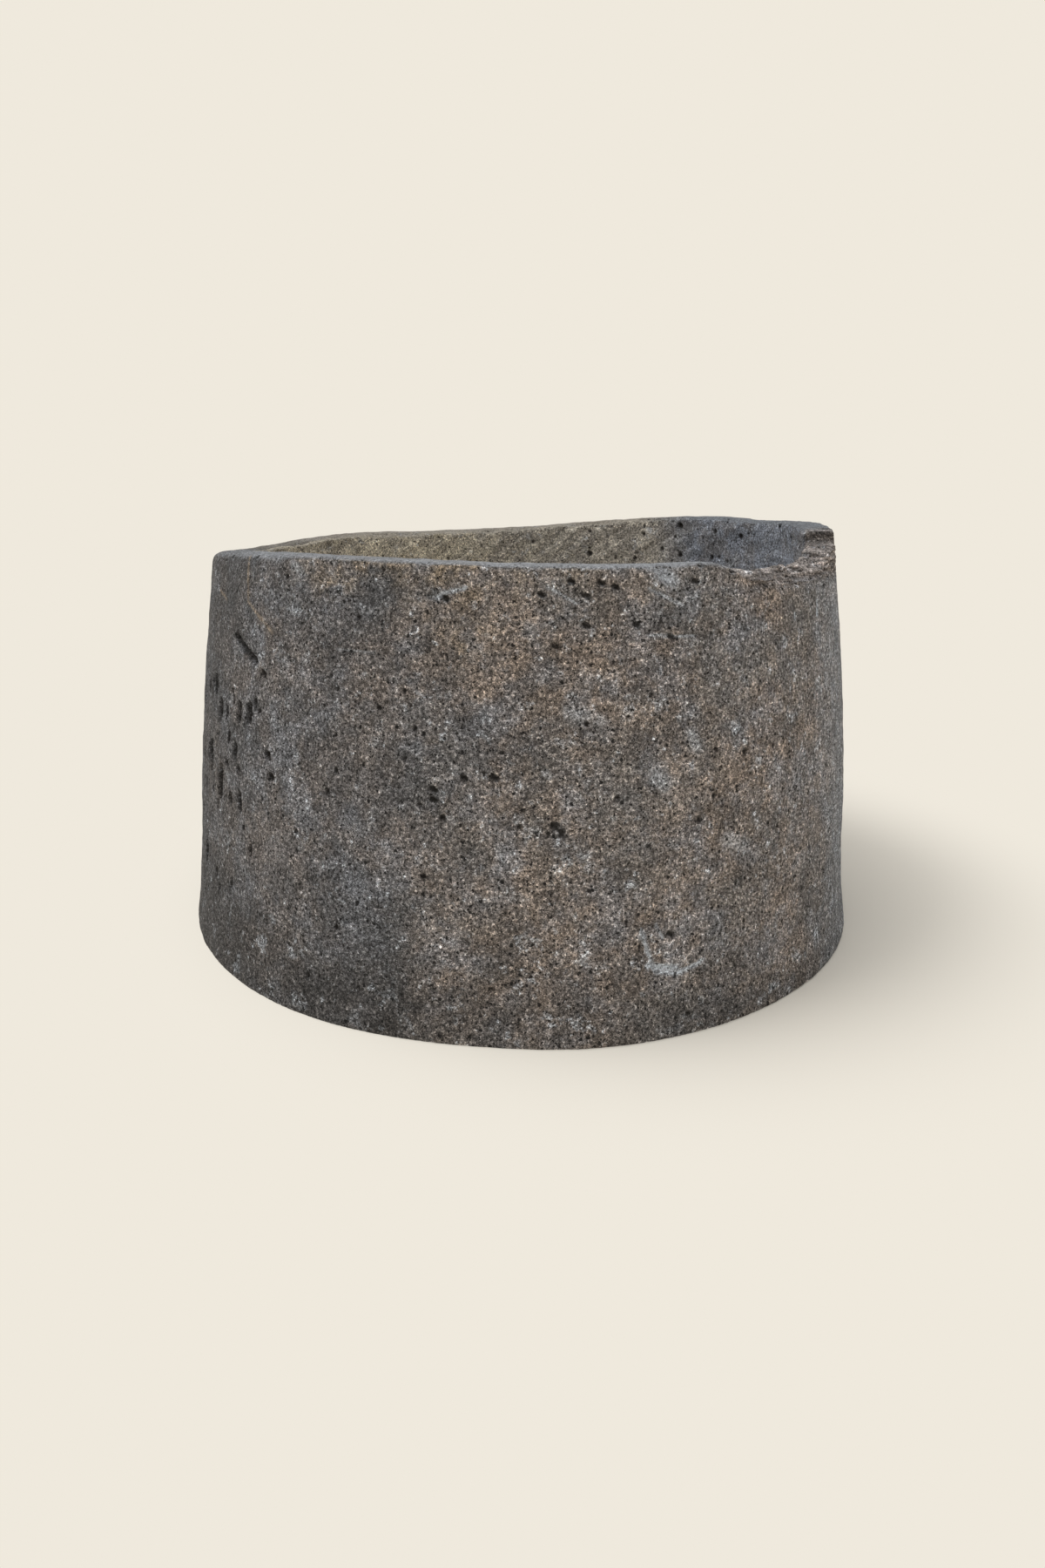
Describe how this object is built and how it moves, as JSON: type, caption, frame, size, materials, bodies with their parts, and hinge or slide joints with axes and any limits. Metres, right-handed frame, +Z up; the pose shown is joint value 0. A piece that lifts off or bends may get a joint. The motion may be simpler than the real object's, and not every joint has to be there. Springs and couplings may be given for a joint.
{
  "type": "stone planter",
  "caption": "Round floor planter carved from one stone block, open at the top, with thick walls, an uneven broken rim and a drain hole in the floor.",
  "frame": {"origin": "middle of the foot, on the axis of the drain hole, where the planter meets the floor", "axes": "+Z up, -Y towards the pictured near side, +X to the right seen from that side"},
  "size_m": [0.6001, 0.6002, 0.3499],
  "materials": {
    "limestone": "weathered, hand-dressed limestone: matt grey-brown, fine pores, pits and pale lime bloom"
  },
  "bodies": {
    "root": {"stone_vessel": "limestone"}
  },
  "joints": []
}
